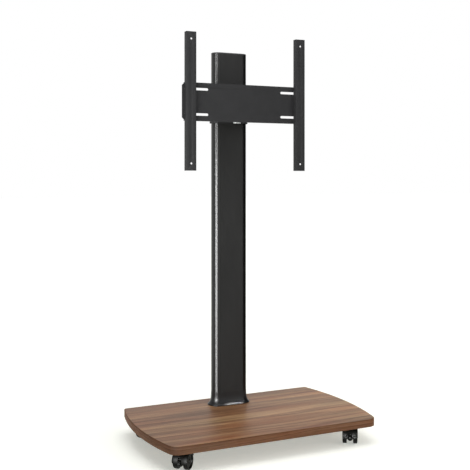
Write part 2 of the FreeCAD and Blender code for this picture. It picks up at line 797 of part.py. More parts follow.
def make_brake_lever(name, place):
    """Foot lever whose round root turns in the hood's seat."""
    body = caster_body(name, place, "brake_lever")
    y, z = lever_pivot()
    run, drop = "cos(lever_angle * 1deg)", "sin(lever_angle * 1deg)"
    tip_y, tip_z = f"{y} - lever_length * {run}", f"{z} - lever_length * {drop}"
    half = "lever_half_thickness"
    arm = new_sketch(body, "YZ", "arm")
    draw_outline(arm, [
        (f"{y} - {half} * {drop}", f"{z} + {half} * {run}"),
        (f"{tip_y} - {half} * {drop}", f"{tip_z} + {half} * {run}"),
        (f"{tip_y} - {half} * {run}", f"{tip_z} - {half} * {drop}"),
        (f"{tip_y} + {half} * {drop}", f"{tip_z} - {half} * {run}"),
        (f"{y} + {half} * {drop}", f"{z} - {half} * {run}"),
    ])
    pad(body, arm, "lever_width", both_ways=True)
    root = new_sketch(body, "YZ", "root")
    draw_circle(root, y, z, "lever_root_r")
    pad(body, root, "lever_width", both_ways=True)


def make_casters():
    for name, place in CASTERS.items():
        make_caster_mount(name, place)
        make_caster_hood(name, place)
        make_caster_wheel(name, place, "left", -1)
        make_caster_wheel(name, place, "right", 1)
        if place[3]:
            make_brake_lever(name, place)


def check_and_write():
    doc.recompute()
    for thing in doc.Objects:
        if {"Invalid", "Error"} & set(thing.State):
            raise RuntimeError(f"{thing.Name} failed: {thing.State}")
    for part in PARTS:
        if part.Shape.isNull() or not part.Shape.isValid():
            raise RuntimeError(f"{part.Label} has no sound shape")
    os.makedirs("parts", exist_ok=True)
    for part in PARTS:
        part.Shape.exportStep(f"parts/{part.Label}.step")
        print(part.Label, len(part.Shape.Solids), round(part.Shape.Volume))


make_base_board()
make_edge_band()
make_under_plate()
make_column_foot()
make_column()
make_cable_grommets()
make_column_cap()
make_height_collar()
make_clamp_handle()
make_swivel_yoke()
make_swivel_pin()
make_swivel_block()
make_swivel_bracket()
make_head_plate()
make_arms()
make_casters()
check_and_write()
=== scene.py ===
"""The looks of a mobile stand with a mounting head, built round its CAD frame.

Metres, floor at z = 0, front towards -Y. Shapes are written in millimetres and
scaled once, where a mesh is made.
"""

import json
import math

import bmesh
import bpy
from mathutils import Matrix, Vector

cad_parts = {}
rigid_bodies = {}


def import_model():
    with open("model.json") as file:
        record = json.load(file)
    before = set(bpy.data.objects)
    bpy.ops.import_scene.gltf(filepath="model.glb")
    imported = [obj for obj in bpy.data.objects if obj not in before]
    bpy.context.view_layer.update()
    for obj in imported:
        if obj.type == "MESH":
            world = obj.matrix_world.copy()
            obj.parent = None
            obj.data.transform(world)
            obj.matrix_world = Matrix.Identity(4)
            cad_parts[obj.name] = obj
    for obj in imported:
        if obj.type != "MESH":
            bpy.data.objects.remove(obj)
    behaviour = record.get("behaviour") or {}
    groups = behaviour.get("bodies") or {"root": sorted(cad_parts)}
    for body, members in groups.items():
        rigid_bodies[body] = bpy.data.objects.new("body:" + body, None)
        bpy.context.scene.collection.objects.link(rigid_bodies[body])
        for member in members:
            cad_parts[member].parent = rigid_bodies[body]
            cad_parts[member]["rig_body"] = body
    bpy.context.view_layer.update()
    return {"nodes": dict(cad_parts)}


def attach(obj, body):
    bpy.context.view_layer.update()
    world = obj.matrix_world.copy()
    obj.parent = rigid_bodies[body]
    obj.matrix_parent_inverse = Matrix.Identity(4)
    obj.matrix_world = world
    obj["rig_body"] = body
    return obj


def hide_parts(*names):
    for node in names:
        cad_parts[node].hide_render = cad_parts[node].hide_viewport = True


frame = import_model()
SCENE = bpy.context.scene

MM = 0.001
SAME_POINT = 0.001  # millimetres
X, Y, Z = Vector((1, 0, 0)), Vector((0, 1, 0)), Vector((0, 0, 1))
WHITE, BLACK = (1, 1, 1, 1), (0, 0, 0, 1)
NOISE = (0.3, 0.7)  # where nearly all values of a noise lie

# base board, its edge band and the radii of the band's arrises
BOARD_LOW, BOARD_HIGH = 58.0, 83.0
BOARD_HALF_FRONT, BOARD_HALF_DEPTH, BOARD_BULGE = 350.0, 230.0, 30.0
FRONT_CORNER, BACK_CORNER = 34.0, 10.0
BAND = 1.0
ARRIS, LOWER_ARRIS = 2.2, 1.2
UNDER_PLATE_LOW = 55.0

# column: two half rounds of COLUMN_R, each COLUMN_RUN out from the middle
COLUMN_Y = 148.0
COLUMN_R, COLUMN_RUN = 23.0, 41.0
COLUMN_WALL, DUCT_HALF, RIB = 2.5, 27.5, 2.5
COLUMN_TOP = 1283.0
PORTS = (("lower", 190.0), ("upper", 850.0))
PORT_HALF, PORT_CORNER = (16.0, 31.0), 6.0

# mounting head
HEAD_Z = 1106.0
COLLAR_BACK = 174.1
YOKE_FRONT = 116.9
PIVOT_Y = 80.9
HEAD_BACK, ARM_FRONT = 20.9, 16.4

# casters: place of the stem, how far it is turned, and whether it brakes
CASTERS = {
    "front_left": (-289.0, -168.0, 46.0, True),
    "front_right": (289.0, -168.0, 32.0, True),
    "back_left": (-289.0, 152.0, 60.0, False),
    "back_right": (289.0, 152.0, 42.0, False),
}
MOUNT_LOW = 55.5
AXLE_Y, AXLE_Z = -18.0, 25.0
# the hood's guard: its radii, its half width and the angles of its two ends
HOOD_IN, HOOD_OUT, HOOD_HALF = 26.2, 28.4, 25.0
HOOD_FRONT, HOOD_REAR = 18.0, 190.0
LEVER_Y, LEVER_Z, LEVER_DOWN = -35.0, 33.0, 32.0

# hidden solids for boolean cuts, taken away at the end
CUTTERS = []


# ------------------------------------------------------------------- nodes


def linear(*rgb):
    """A colour given in 0-255 steps of the sRGB curve, as the shader wants it."""
    steps = [c / 255 for c in rgb]
    return (*(c / 12.92 if c <= 0.04045 else ((c + 0.055) / 1.055) ** 2.4 for c in steps), 1)


class Nodes:
    """Adds nodes to one tree and wires them up."""

    def __init__(self, tree):
        self.tree = tree

    def add(self, kind, inputs=None, **settings):
        made = self.tree.nodes.new("ShaderNode" + kind)
        for name, value in settings.items():
            setattr(made, name, value)
        for name, value in (inputs or {}).items():
            self.feed(made.inputs[name], value)
        return made

    def feed(self, socket, value):
        """Give a socket its value, or link it to the socket that the value comes from."""
        if isinstance(value, bpy.types.NodeSocket):
            self.tree.links.new(value, socket)
        else:
            socket.default_value = value

    def sums(self, operation, first, second=0.0):
        """The result of a sum on one or two numbers."""
        return self.add("Math", {0: first, 1: second}, operation=operation).outputs[0]

    def span(self, fac, low, high, start=0.0, end=1.0, **settings):
        """fac from start..end carried over to low..high, and clamped there."""
        inputs = {"Value": fac, "From Min": start, "From Max": end, "To Min": low, "To Max": high}
        return self.add("MapRange", inputs, **settings).outputs["Result"]

    def split(self, vector):
        """The outputs X, Y and Z of a vector."""
        return self.add("SeparateXYZ", {"Vector": vector}).outputs


class Paint(Nodes):
    """One node material while it is being put together."""

    def __init__(self, name, **sockets):
        self.material = bpy.data.materials.new(name)
        self.material.use_nodes = True
        super().__init__(self.material.node_tree)
        self.shader = self.tree.nodes["Principled BSDF"]
        self.place = self.add("TexCoord").outputs["Object"]
        for socket, value in sockets.items():
            self.set(socket.replace("_", " ").title().replace("Ior", "IOR"), value)

    def set(self, name, value):
        self.feed(self.shader.inputs[name], value)

    def scaled(self, *scale):
        """The place, stretched to so many waves per metre along each axis."""
        return self.add("Mapping", {"Vector": self.place, "Scale": scale}).outputs["Vector"]

    def noise(self, vector, scale=1.0, detail=2.0, rough=0.5, distort=0.0):
        inputs = {"Vector": vector, "Scale": scale, "Detail": detail,
                  "Roughness": rough, "Distortion": distort}
        return self.add("TexNoise", inputs).outputs["Fac"]

    def pair(self, along, across, per_along, per_across, third=0.0):
        """Two lengths as a vector, each times its own number of waves per metre."""
        vector = self.add("CombineXYZ", {"X": self.sums("MULTIPLY", along, per_along),
                                         "Y": self.sums("MULTIPLY", across, per_across),
                                         "Z": third})
        return vector.outputs[0]

    def ramp(self, fac, stops, smooth=False):
        made = self.add("ValToRGB", {"Fac": fac})
        bar = made.color_ramp
        bar.interpolation = "EASE" if smooth else "LINEAR"
        while len(bar.elements) < len(stops):
            bar.elements.new(1.0)
        for element, (at, colour) in zip(bar.elements, stops):
            element.position = at
            element.color = colour
        return made.outputs["Color"]

    def mix(self, fac, first, second, blend="MIX"):
        made = self.add("Mix", data_type="RGBA", blend_type=blend)
        # by number, as the node has sockets of the same names for other kinds of value
        for number, value in ((0, fac), (6, first), (7, second)):
            self.feed(made.inputs[number], value)
        return made.outputs[2]

    def bump(self, height, distance):
        """Relief from a height of 0 to 1, distance metres deep."""
        made = self.add("Bump", {"Height": height, "Distance": distance, "Strength": 1.0})
        self.set("Normal", made.outputs["Normal"])


# --------------------------------------------------------------- materials


def grain(paint, along, across, tones, band, gloss):
    """Walnut decor: soft bands of differing tone, long flecks, streaks and pores, with painted
    light that makes it paler towards the right.
    along and across are sockets in metres, tones the colours from dark to pale,
    band how broad a band is, and gloss the roughness of dark and of pale streaks.
    Hands back the colour."""
    wave = paint.noise(paint.pair(along, across, 1.3, 2.5), detail=1.0)
    across = paint.sums("ADD", across, paint.span(wave, -0.014, 0.014, *NOISE))

    def flow(per_along, per_across, third=0.0):
        return paint.pair(along, across, per_along, per_across, third)

    bands = paint.noise(flow(0.5, 0.62 / band), detail=2.0, rough=0.6)
    flecks = paint.noise(flow(1.9, 1.9 / band, 3.7), detail=4.0, rough=0.62, distort=0.5)
    tone = paint.sums("ADD", paint.span(bands, -0.18, 0.58, *NOISE),
                      paint.span(flecks, -0.12, 0.72, *NOISE))
    # painted light: a little paler towards the right, as if more light fell there
    tone = paint.sums("ADD", tone, paint.span(along, -0.03, 0.12, -0.05, 0.35))
    colour = paint.ramp(tone, [(at, linear(*rgb)) for at, rgb in tones], smooth=True)

    hue = paint.ramp(paint.noise(flow(1.9, 0.4 / band, 8.1), detail=3.0, rough=0.6), [
        (0.34, linear(255, 228, 208)), (0.5, linear(255, 253, 246)),
        (0.64, linear(238, 246, 238))])
    colour = paint.mix(1.0, colour, hue, "MULTIPLY")

    shade = linear(168, 156, 150)
    streaks = paint.noise(flow(2.4, 9.0 / band, 1.9), detail=5.0, rough=0.66, distort=0.5)
    dark = paint.ramp(streaks, [(0.34, shade), (0.48, WHITE)])
    colour = paint.mix(0.8, colour, dark, "MULTIPLY")
    pale = paint.ramp(streaks, [(0.56, BLACK), (0.74, WHITE)])
    colour = paint.mix(paint.sums("MULTIPLY", pale, 0.22), colour, linear(196, 178, 160))
    pores = paint.noise(flow(26.0, 1300.0), detail=2.0)
    fine = paint.ramp(pores, [(0.36, shade), (0.47, WHITE)])
    paint.set("Roughness", paint.span(streaks, *gloss))
    paint.bump(pores, 0.00006)
    return paint.mix(0.45, colour, fine, "MULTIPLY")


def board_top():
    paint = Paint("board_top_walnut", specular_ior_level=0.15)
    place = paint.split(paint.place)
    tones = [(0.00, (99, 66, 44)), (0.28, (123, 86, 60)), (0.46, (139, 102, 73)),
             (0.62, (148, 111, 80)), (0.80, (165, 127, 93)), (1.00, (184, 146, 110))]
    paint.set("Base Color", grain(paint, place["X"], place["Y"], tones, 0.05, (0.38, 0.46)))
    return paint.material


def board_edge():
    """The edge band, darker along its upper arris."""
    arris_tone, arris_dark_start, arris_dark_end = 0.62, 0.0795, 0.0815
    paint = Paint("board_edge_walnut", specular_ior_level=0.05)
    place = paint.split(paint.place)
    along = paint.sums("ADD", place["X"], place["Y"])
    # painted shade: these tones are darker than the top's, mostly standing in for the shade on
    # the board's sides, partly the band's own tone
    tones = [(0.00, (102, 69, 50)), (0.35, (126, 88, 66)), (0.65, (134, 96, 73)),
             (1.00, (146, 107, 83))]
    colour = grain(paint, along, place["Z"], tones, 0.03, (0.5, 0.62))
    arris_darkening = paint.span(place["Z"], 1.0, arris_tone, arris_dark_start, arris_dark_end)
    paint.set("Base Color", paint.mix(1.0, colour, arris_darkening, "MULTIPLY"))
    return paint.material


def black_column():
    """Satin coat, with the faint upright lines of the extrusion in it. The flat
    faces are painted paler than the round edges, a painted sheen, and are duller."""
    flat_end, round_start = 0.04, 0.046
    paint = Paint("column_satin_black", anisotropic=1.0, anisotropic_rotation=0.25)
    paint.set("Tangent", paint.add("Tangent", direction_type="RADIAL", axis="Z").outputs[0])
    lines = paint.noise(paint.scaled(900, 900, 1.5), detail=2.0)
    cloud = paint.noise(paint.scaled(14, 14, 4), detail=3.0)
    peel = paint.noise(paint.place, scale=1500.0, detail=1.0)
    sideways = paint.sums("ABSOLUTE", paint.split(paint.place)["X"])
    flat = paint.span(sideways, 1.0, 0.0, flat_end, round_start)
    cloud = paint.span(cloud, 0.0, 1.0, *NOISE)
    # painted sheen: the same black coat, painted paler on the flat faces than on the round edges
    edges = paint.mix(cloud, linear(16, 16, 16), linear(20, 20, 20))
    faces = paint.mix(cloud, linear(52, 52, 52), linear(57, 57, 57))
    paint.set("Base Color", paint.mix(flat, edges, faces))
    paint.set("Specular IOR Level", paint.span(flat, 0.42, 0.12))
    paint.set("Roughness", paint.sums("ADD", paint.span(lines, 0.28, 0.33),
                                      paint.sums("MULTIPLY", flat, 0.5)))
    paint.bump(paint.sums("ADD", lines, paint.sums("MULTIPLY", peel, 0.6)), 0.00002)
    return paint.material


def black_foot():
    """The same coat on the foot. Above the flare it is painted paler, a painted sheen like the
    column's faces, so the flare is darker.
    """
    flare_end, upper_start = 0.092, 0.106
    paint = Paint("foot_satin_black", specular_ior_level=0.2)
    cloud = paint.noise(paint.scaled(40, 40, 40), detail=3.0)
    peel = paint.noise(paint.place, scale=900.0, detail=1.0)
    height = paint.split(paint.place)["Z"]
    # painted sheen: the part above the flare is painted paler than the black flare
    upper = paint.mix(cloud, linear(41, 41, 42), linear(47, 47, 48))
    flare = paint.mix(cloud, linear(8, 8, 9), linear(14, 14, 15))
    share = paint.span(height, 0.0, 1.0, flare_end, upper_start)
    paint.set("Base Color", paint.mix(share, flare, upper))
    paint.set("Roughness", paint.span(cloud, 0.27, 0.31))
    paint.bump(peel, 0.000008)
    return paint.material


def coated_steel():
    """Fine-textured black powder coat."""
    paint = Paint("black_powder_coat", specular_ior_level=0.24)
    grit = paint.noise(paint.place, scale=2200.0, detail=2.0)
    cloud = paint.noise(paint.place, scale=22.0, detail=3.0)
    paint.set("Base Color", paint.mix(cloud, linear(26, 26, 28), linear(40, 40, 42)))
    paint.set("Roughness", paint.span(cloud, 0.6, 0.72))
    paint.bump(grit, 0.00012)
    return paint.material


def zinc():
    """Bright zinc plating with its faint spangle and brushing."""
    paint = Paint("bright_zinc", metallic=1.0)
    patches = paint.add("TexVoronoi", {"Vector": paint.place, "Scale": 420.0}).outputs["Color"]
    spangle = paint.split(patches)["X"]
    rub = paint.noise(paint.scaled(300, 2600, 300), detail=2.0)
    stain = paint.noise(paint.place, scale=60.0, detail=4.0)
    paint.set("Base Color", paint.mix(paint.span(stain, 0.0, 1.0, 0.35, 0.7),
                                      linear(186, 188, 190), linear(158, 159, 160)))
    paint.set("Roughness", paint.sums("ADD", paint.span(spangle, 0.2, 0.3),
                                      paint.span(rub, 0.0, 0.1)))
    paint.bump(rub, 0.00002)
    return paint.material


def moulded(name, dark, light, rough, grit_scale, grit_depth, specular):
    """A dark moulded plastic: cloudy colour, fine spark-eroded texture."""
    paint = Paint(name, specular_ior_level=specular)
    cloud = paint.noise(paint.place, scale=70.0, detail=3.0)
    grit = paint.noise(paint.place, scale=grit_scale, detail=2.0)
    paint.set("Base Color", paint.mix(cloud, linear(*dark), linear(*light)))
    paint.set("Roughness", paint.span(cloud, rough - 0.06, rough + 0.06))
    paint.bump(grit, grit_depth)
    return paint.material


MATERIALS = {
    "board_top": board_top(),
    "board_edge": board_edge(),
    "column": black_column(),
    "column_foot": black_foot(),
    "black_steel": coated_steel(),
    "zinc_steel": zinc(),
    "black_plastic": moulded("black_plastic", (24, 24, 25), (34, 34, 36),
                             0.5, 1800.0, 0.0001, 0.45),
    "caster_hood": moulded("caster_hood_nylon", (14, 15, 12), (24, 25, 21),
                           0.46, 1600.0, 0.00004, 0.07),
    "caster_wheel": moulded("caster_wheel_nylon", (8, 9, 6), (15, 16, 13),
                            0.3, 1300.0, 0.00004, 0.14),
    "brake_lever": moulded("brake_lever_nylon", (16, 17, 14), (26, 27, 23),
                           0.46, 1600.0, 0.00004, 0.1),
}


# ------------------------------------------------------------ mesh helpers


def mesh_of(name, bm):
    """The bmesh as a mesh. The bmesh itself is freed."""
    mesh = bpy.data.meshes.new(name)
    bm.to_mesh(mesh)
    bm.free()
    return mesh


def linked(name, data):
    """A new object in the scene."""
    made = bpy.data.objects.new(name, data)
    SCENE.collection.objects.link(made)
    return made


def piece(name, bm, body, slot, replaces=(), sharp=32.0, place=None):
    """Make the mesh a piece of the object: it rides, has a finish, and may stand
    for CAD nodes. Edges stay sharp from that many degrees on, and place puts
    millimetre shapes where they belong."""
    bmesh.ops.recalc_face_normals(bm, faces=bm.faces)
    mesh = mesh_of(name, bm)
    mesh.transform(Matrix.Scale(MM, 4) @ (place or Matrix.Identity(4)))
    mesh.shade_smooth()
    mesh.set_sharp_from_angle(angle=math.radians(sharp))
    mesh.materials.append(MATERIALS[slot])
    made = linked(name, mesh)
    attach(made, body)
    if replaces:
        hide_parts(*replaces)


def loft(bm, rings, closed=False):
    """Skin a list of rings that have the same number of points. The last ring is
    joined to the first where it is closed, and else both ends get a face."""
    rows = [[bm.verts.new(p) for p in ring] for ring in rings]
    pairs = list(zip(rows, rows[1:]))
    if closed:
        pairs.append((rows[-1], rows[0]))
    for low, high in pairs:
        for i in range(len(low)):
            j = (i + 1) % len(low)
            bm.faces.new((low[i], low[j], high[j], high[i]))
    if not closed:
        bm.faces.new(rows[0])
        bm.faces.new(rows[-1])


def basis(axis):
    """A matrix whose Z runs along axis."""
    return Vector(axis).to_track_quat("Z", "Y").to_matrix().to_4x4()


def circle(radius, steps, height=0.0):
    """A ring round Z."""
    return [Vector((radius * math.cos(a), radius * math.sin(a), height))
            for a in (math.tau * i / steps for i in range(steps))]


def lathe(bm, profile, centre, axis, steps):
    """Turn a profile of (radius, height) round an axis. Both ends get a face, a
    very small one where the radius is zero."""
    least = 0.02
    turn = Matrix.Translation(centre) @ basis(axis)
    loft(bm, [[turn @ p for p in circle(max(radius, least), steps, height)]
              for radius, height in profile])


def rounded(half_x, half_y, corner):
    """A rectangle with round corners, as flat points."""
    steps = 5
    points = []
    for quarter, (sx, sy) in enumerate(((1, 1), (-1, 1), (-1, -1), (1, -1))):
        for i in range(steps + 1):
            a = math.pi / 2 * (quarter + i / steps)
            points.append((sx * (half_x - corner) + corner * math.cos(a),
                           sy * (half_y - corner) + corner * math.sin(a)))
    return points


def hexagon(across):
    """A hexagon with points along its sides, so that it lofts to a circle."""
    steps = 4
    corners = [Vector((math.cos(a), math.sin(a))) * (across / math.sqrt(3))
               for a in (math.pi / 3 * i for i in range(6))]
    return [tuple(corners[i].lerp(corners[(i + 1) % 6], k / steps))
            for i in range(6) for k in range(steps)]


def hex_head(bm, centre, axis, across, height, washer=0.0):
    """A chamfered hexagon head or nut, on a washer where its radius is given."""
    washer_height, chamfer_start, top_radius = 0.1 * across, 0.82, 0.48 * across
    turn = Matrix.Translation(centre) @ basis(axis)
    flat = hexagon(across)
    base = 0.0
    if washer:
        base = washer_height
        lathe(bm, [(washer * 0.5, 0), (washer, 0), (washer, base * 0.75),
                   (washer - base * 0.25, base), (washer * 0.5, base)], centre, axis, 32)
    round_top = [Vector(p).normalized() * top_radius for p in flat]
    rows = [(flat, base), (flat, base + (height - base) * chamfer_start), (round_top, height)]
    loft(bm, [[turn @ Vector((p[0], p[1], z)) for p in row] for row, z in rows])


def pan_head(bm, centre, axis, radius, height):
    """A domed screw head with a recess."""
    shares = [(0.9, 0), (1, 0.18), (0.96, 0.5), (0.78, 0.84), (0.45, 1), (0.3, 1),
              (0.16, 0.45), (0, 0.4)]
    lathe(bm, [(radius * r, height * h) for r, h in shares], centre, axis, 28)


def dressed(node, name, slot, bevel, segments=2):
    """A copy of a CAD node's shape, its hard edges broken by bevel millimetres."""
    flat_angle, hard_angle = 0.5, 30
    body = frame["nodes"][node]["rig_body"]
    bm = bmesh.new()
    bm.from_mesh(frame["nodes"][node].data)
    bmesh.ops.scale(bm, vec=(1 / MM,) * 3, verts=bm.verts)
    bmesh.ops.remove_doubles(bm, verts=bm.verts, dist=SAME_POINT)
    bmesh.ops.dissolve_limit(bm, angle_limit=math.radians(flat_angle),
                             verts=bm.verts, edges=bm.edges)
    hard = [e for e in bm.edges
            if len(e.link_faces) == 2 and e.calc_face_angle(0) > math.radians(hard_angle)]
    bmesh.ops.bevel(bm, geom=hard, offset=bevel, segments=segments, profile=0.5,
                    affect="EDGES", clamp_overlap=True)
    piece(name, bm, body, slot, [node], sharp=50)


def weld_bead(bm, points, radius):
    """A rippled fillet weld laid along a path."""
    ripple, slices, depth, around = 2.4, 4, 0.14, 10
    path = [Vector(p) for p in points]
    rings, run = [], 0.0
    for start, end in zip(path, path[1:]):
        length = (end - start).length
        turn = basis(end - start).to_3x3()
        count = max(2, int(length / (ripple / slices)))
        for i in range(count + (end is path[-1])):
            size = radius * (1 - depth + depth * math.cos(math.tau * run / ripple))
            middle = start.lerp(end, i / count)
            rings.append([middle + turn @ p for p in circle(size, around)])
            run += length / count
    loft(bm, rings)


def worked(name, bm, *steps):
    """Run modifiers over a bmesh and hand back the result as a new bmesh."""
    holder = linked(name, mesh_of(name, bm))
    for number, (kind, settings) in enumerate(steps):
        modifier = holder.modifiers.new(str(number), kind)
        for key, value in settings.items():
            setattr(modifier, key, value)
    bpy.context.view_layer.update()
    graph = bpy.context.evaluated_depsgraph_get()
    made = bmesh.new()
    made.from_mesh(bpy.data.meshes.new_from_object(holder.evaluated_get(graph)))
    bpy.data.objects.remove(holder)
    return made


def cut(name, bm, **settings):
    """The modifier step that cuts a solid out of another one."""
    bmesh.ops.recalc_face_normals(bm, faces=bm.faces)
    solid = linked(name, mesh_of(name, bm))
    CUTTERS.append(solid)
    return "BOOLEAN", {"operation": "DIFFERENCE", "solver": "EXACT", "object": solid, **settings}


# -------------------------------------------------------------- base board


def board_ring(inset, z):
    """The board's outline moved inwards, as one ring at height z."""
    corner_steps, side_steps = 10, 44
    side_r = (BOARD_HALF_DEPTH ** 2 + BOARD_BULGE ** 2) / (2 * BOARD_BULGE)
    side_x = BOARD_HALF_FRONT + BOARD_BULGE - side_r
    corners = []
    for end, radius in ((-1, FRONT_CORNER), (1, BACK_CORNER)):
        reach = math.sqrt((side_r - radius) ** 2 - (BOARD_HALF_DEPTH - radius) ** 2)
        centre = Vector((side_x + reach, end * (BOARD_HALF_DEPTH - radius)))
        outward = (centre - Vector((side_x, 0))).normalized()
        first, last = sorted((end * math.pi / 2, math.atan2(outward.y, outward.x)))
        angles = [first + (last - first) * i / corner_steps for i in range(corner_steps + 1)]
        corners.append([centre + Vector((math.cos(a), math.sin(a))) * (radius - inset)
                        for a in angles])
    front, back = corners
    low = math.atan2(front[-1].y, front[-1].x - side_x)
    high = math.atan2(back[0].y, back[0].x - side_x)
    middle = []
    for i in range(1, side_steps):
        a = low + (high - low) * i / side_steps
        middle.append(Vector((side_x + (side_r - inset) * math.cos(a),
                              (side_r - inset) * math.sin(a))))
    right = front + middle + back
    left = [Vector((-p.x, p.y)) for p in reversed(right)]
    return [Vector((p.x, p.y, z)) for p in right + left]


def arris(radius, level, upwards, start, end, steps):
    """Insets and heights round the board's rounded edge, from inset start to end."""
    out = []
    for i in range(steps + 1):
        inset = start + (end - start) * i / steps
        rise = math.sqrt(max(0.0, radius ** 2 - (radius - inset) ** 2))
        out.append((inset, level - upwards * (radius - rise)))
    return out


def make_board():
    """The panel, and the band round it with its rounded arrises."""
    top = arris(ARRIS, BOARD_HIGH, 1, BAND, ARRIS, steps=4)
    bottom = arris(LOWER_ARRIS, BOARD_LOW, -1, LOWER_ARRIS, BAND, steps=2)
    bm = bmesh.new()
    loft(bm, [board_ring(inset, z) for inset, z in bottom + top])
    piece("base_board_panel", bm, "base", "board_top", ["base_board"])
    outer = arris(LOWER_ARRIS, BOARD_LOW, -1, BAND, 0.0, steps=5)
    outer += arris(ARRIS, BOARD_HIGH, 1, 0.0, BAND, steps=6)
    bm = bmesh.new()
    loft(bm, [board_ring(inset, z) for inset, z in outer], closed=True)
    piece("edge_band_strip", bm, "base", "board_edge", ["edge_band"])


# ------------------------------------------------------------------ column


def oval(offset, z):
    """The column's flat oval moved outwards, as a ring at height z."""
    radius, steps = COLUMN_R + offset, 28
    points = []
    for side in (1, -1):
        for i in range(steps + 1):
            a = math.pi * (i / steps - side / 2)
            points.append(Vector((side * COLUMN_RUN + radius * math.cos(a),
                                  COLUMN_Y + radius * math.sin(a), z)))
    return points


def extruded(loops, low, high):
    """Straight extrusion of a flat shape with holes, between two heights."""
    shape = bpy.data.curves.new("section", "CURVE")
    shape.dimensions = "2D"
    shape.fill_mode = "BOTH"
    shape.extrude = (high - low) / 2
    for loop in loops:
        spline = shape.splines.new("POLY")
        spline.points.add(len(loop) - 1)
        for point, (x, y) in zip(spline.points, loop):
            point.co = (x, y, 0, 1)
        spline.use_cyclic_u = True
    holder = bpy.data.objects.new("section", shape)
    mesh = bpy.data.meshes.new_from_object(holder)
    bpy.data.objects.remove(holder)
    bm = bmesh.new()
    bm.from_mesh(mesh)
    bmesh.ops.remove_doubles(bm, verts=bm.verts, dist=SAME_POINT)
    bmesh.ops.translate(bm, vec=(0, 0, (high + low) / 2), verts=bm.verts)
    return bm


def cell(side):
    """The hollow at one end of the column, outside its rib."""
    radius, steps = COLUMN_R - COLUMN_WALL, 24
    inner = DUCT_HALF + RIB
    points = [(side * inner, COLUMN_Y + radius), (side * inner, COLUMN_Y - radius)]
    for i in range(steps + 1):
        a = -math.pi / 2 + math.pi * i / steps
        points.append((side * (COLUMN_RUN + radius * math.cos(a)),
                       COLUMN_Y + radius * math.sin(a)))
    return points


def port_shape(shrink):
    """A cable port's outline, moved inwards."""
    least_corner = 0.6
    return rounded(PORT_HALF[0] - shrink, PORT_HALF[1] - shrink,
                   max(least_corner, PORT_CORNER - shrink))


def make_column():
    """The hollow extrusion: a duct between two cells, with two ports cut into its back."""
    radius, past_wall = COLUMN_R - COLUMN_WALL, 8
    duct = [(-DUCT_HALF, COLUMN_Y - radius), (DUCT_HALF, COLUMN_Y - radius),
            (DUCT_HALF, COLUMN_Y + radius), (-DUCT_HALF, COLUMN_Y + radius)]
    outline = [(p.x, p.y) for p in oval(0, 0)]
    bm = extruded([outline, duct, cell(1), cell(-1)], BOARD_HIGH, COLUMN_TOP)
    cuts = []
    for name, level in PORTS:
        hole = bmesh.new()
        loft(hole, [[Vector((x, y, level + z)) for x, z in port_shape(0)]
                    for y in (COLUMN_Y + past_wall, COLUMN_Y + COLUMN_R + past_wall)])
        cuts.append(cut(name + "_port_cut", hole))
    bm = worked("column", bm, *cuts)
    piece("column_extrusion", bm, "base", "column", ["column"], sharp=24)


def make_foot():
    """The flared shoe: a rounded lip and one concave sweep up to a thin rim."""
    rise, lip, steps = 44.0, 3.2, 24
    thin, flare, fade, fade_end = 0.42, 15.9, 8.8, 45
    outside = [(11.0, 0.0), (11.9, 0.5), (12.2, 1.3), (12.1, 2.2), (11.9, 2.8)]
    for i in range(steps + 1):
        z = lip + (rise - lip) * (i / steps) ** 1.7
        outside.append((thin + flare * math.exp(-z / fade) * (1 - (z / fade_end) ** 4), z))
    outside[-1] = (0.34, rise)
    inside = [(0.3, rise), (0.3, 0.0)]
    bm = bmesh.new()
    loft(bm, [oval(offset, BOARD_HIGH + z) for offset, z in outside + inside], closed=True)
    piece("column_foot_shoe", bm, "base", "column_foot", ["column_foot"], sharp=60)


def make_cap():
    """The lid, with its plug in the duct."""
    lid = [(-1.4, -0.2), (-0.3, 0.0), (0.0, 0.3), (0.0, 3.0), (-0.35, 4.0), (-1.1, 4.7),
           (-2.2, 5.0), (-4.6, 5.0), (-5.2, 4.7), (-5.8, 4.6)]
    play, plug_corner, plug_low, plug_high = 0.5, 1.5, -12, -0.1
    bm = bmesh.new()
    loft(bm, [oval(offset, COLUMN_TOP + z) for offset, z in lid])
    plug = rounded(DUCT_HALF - play, COLUMN_R - COLUMN_WALL - play, plug_corner)
    loft(bm, [[Vector((x, COLUMN_Y + y, COLUMN_TOP + z)) for x, y in plug]
              for z in (plug_low, plug_high)])
    piece("column_cap_lid", bm, "base", "black_plastic", ["column_cap"])


def make_grommets():
    """A ring in each port. Its section runs from the flange outside the wall to
    the sleeve inside: inset from the port's edge, and distance behind the wall."""
    section = [(-3.0, 0.0), (-3.0, 0.7), (-2.6, 1.3), (-1.8, 1.6), (0.4, 1.6), (1.2, 1.35),
               (1.8, 0.7), (1.8, -4.1), (0.2, -4.1), (0.2, 0.0)]
    wall = COLUMN_Y + COLUMN_R
    for name, level in PORTS:
        bm = bmesh.new()
        loft(bm, [[Vector((x, wall + y, level + z)) for x, z in port_shape(shrink)]
                  for shrink, y in section], closed=True)
        piece(f"{name}_cable_grommet_ring", bm, "base", "black_plastic",
              [f"{name}_cable_grommet"])


def make_under_plate():
    """The plate under the board, with the bolts that hold the column to it."""
    dressed("under_plate", "under_plate_steel", "black_steel", 0.6)
    bm = bmesh.new()
    for x in (-48, -16, 16, 48):
        for y in (-15, 15):
            hex_head(bm, (x, COLUMN_Y + y, UNDER_PLATE_LOW), -Z, across=13, height=6.4,
                     washer=9.0)
    piece("under_plate_bolts", bm, "base", "zinc_steel")


# ---------------------------------------------------------- mounting head


